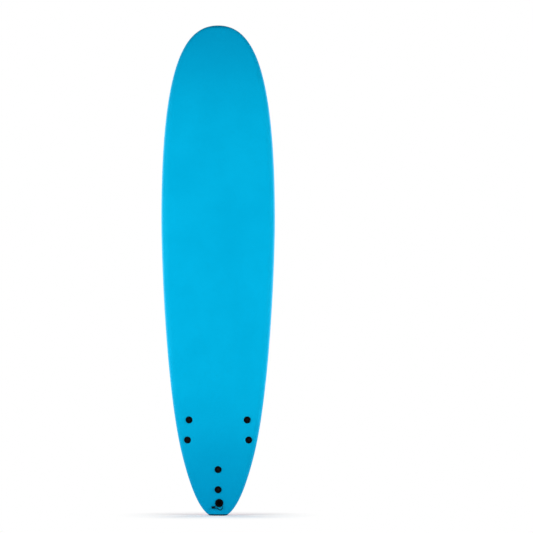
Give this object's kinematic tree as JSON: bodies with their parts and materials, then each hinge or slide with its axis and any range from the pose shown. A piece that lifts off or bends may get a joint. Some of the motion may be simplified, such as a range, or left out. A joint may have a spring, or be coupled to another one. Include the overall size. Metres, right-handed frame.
{
  "type": "longboard surfboard",
  "caption": "Soft-top longboard with a rounded nose, narrow square tail, bolted-on fins, and a leash plug with its string.",
  "frame": {"origin": "centre of the tail pad's flat end face", "axes": "+Z along the board from tail to nose, -Y out of the deck, +Y out of the underside, +X to the right as seen from the deck side"},
  "size_m": [0.567, 0.2361, 2.4374],
  "materials": {
    "deck_foam": "matte",
    "backing_foam": "matte",
    "slick": "gloss",
    "core_foam": "matte",
    "stringer_wood": "matte",
    "tail_pad": "matte",
    "black_plastic": "satin",
    "fin_plastic": "satin",
    "brass": "satin",
    "sleeve_plastic": "matte",
    "steel": "satin",
    "string": "matte"
  },
  "bodies": {
    "board": {"deck_skin": "deck_foam", "bottom_backing": "backing_foam", "bottom_slick": "slick", "core_tail": "core_foam", "core_left_outer": "core_foam", "core_left_inner": "core_foam", "core_right_inner": "core_foam", "core_right_outer": "core_foam", "stringer_left": "stringer_wood", "stringer_center": "stringer_wood", "stringer_right": "stringer_wood", "tail_pad": "tail_pad", "leash_cup": "black_plastic", "leash_bar": "steel", "leash_string": "string", "leash_knot": "string", "fin_sleeves_left": "sleeve_plastic", "fin_sleeves_right": "sleeve_plastic", "fin_sleeves_center": "sleeve_plastic"},
    "fin_left": {"fin_base_left": "black_plastic", "fin_blade_left": "fin_plastic", "fin_inserts_left": "brass"},
    "fin_right": {"fin_base_right": "black_plastic", "fin_blade_right": "fin_plastic", "fin_inserts_right": "brass"},
    "fin_center": {"fin_base_center": "black_plastic", "fin_blade_center": "fin_plastic", "fin_inserts_center": "brass"},
    "bolt_left_front": {"bolt_flange_left_front": "black_plastic", "fin_screw_left_front": "steel"},
    "bolt_left_rear": {"bolt_flange_left_rear": "black_plastic", "fin_screw_left_rear": "steel"},
    "bolt_right_front": {"bolt_flange_right_front": "black_plastic", "fin_screw_right_front": "steel"},
    "bolt_right_rear": {"bolt_flange_right_rear": "black_plastic", "fin_screw_right_rear": "steel"},
    "bolt_center_front": {"bolt_flange_center_front": "black_plastic", "fin_screw_center_front": "steel"},
    "bolt_center_rear": {"bolt_flange_center_rear": "black_plastic", "fin_screw_center_rear": "steel"}
  },
  "joints": [
    {"name": "fin_left_lift", "type": "slide", "parent": "board", "child": "fin_left", "axis": [0, 0.9987, -0.051], "range_m": [0, 0.04]},
    {"name": "fin_right_lift", "type": "slide", "parent": "board", "child": "fin_right", "axis": [0, 0.9987, -0.051], "range_m": [0, 0.04]},
    {"name": "fin_center_lift", "type": "slide", "parent": "board", "child": "fin_center", "axis": [0, 0.997, -0.0772], "range_m": [0, 0.04]},
    {"name": "bolt_left_front_draw", "type": "slide", "parent": "board", "child": "bolt_left_front", "axis": [0, -0.9987, 0.051], "range_m": [0, 0.06]},
    {"name": "bolt_left_rear_draw", "type": "slide", "parent": "board", "child": "bolt_left_rear", "axis": [0, -0.9987, 0.051], "range_m": [0, 0.06]},
    {"name": "bolt_right_front_draw", "type": "slide", "parent": "board", "child": "bolt_right_front", "axis": [0, -0.9987, 0.051], "range_m": [0, 0.06]},
    {"name": "bolt_right_rear_draw", "type": "slide", "parent": "board", "child": "bolt_right_rear", "axis": [0, -0.9987, 0.051], "range_m": [0, 0.06]},
    {"name": "bolt_center_front_draw", "type": "slide", "parent": "board", "child": "bolt_center_front", "axis": [0, -0.997, 0.0772], "range_m": [0, 0.06]},
    {"name": "bolt_center_rear_draw", "type": "slide", "parent": "board", "child": "bolt_center_rear", "axis": [0, -0.997, 0.0772], "range_m": [0, 0.06]}
  ]
}
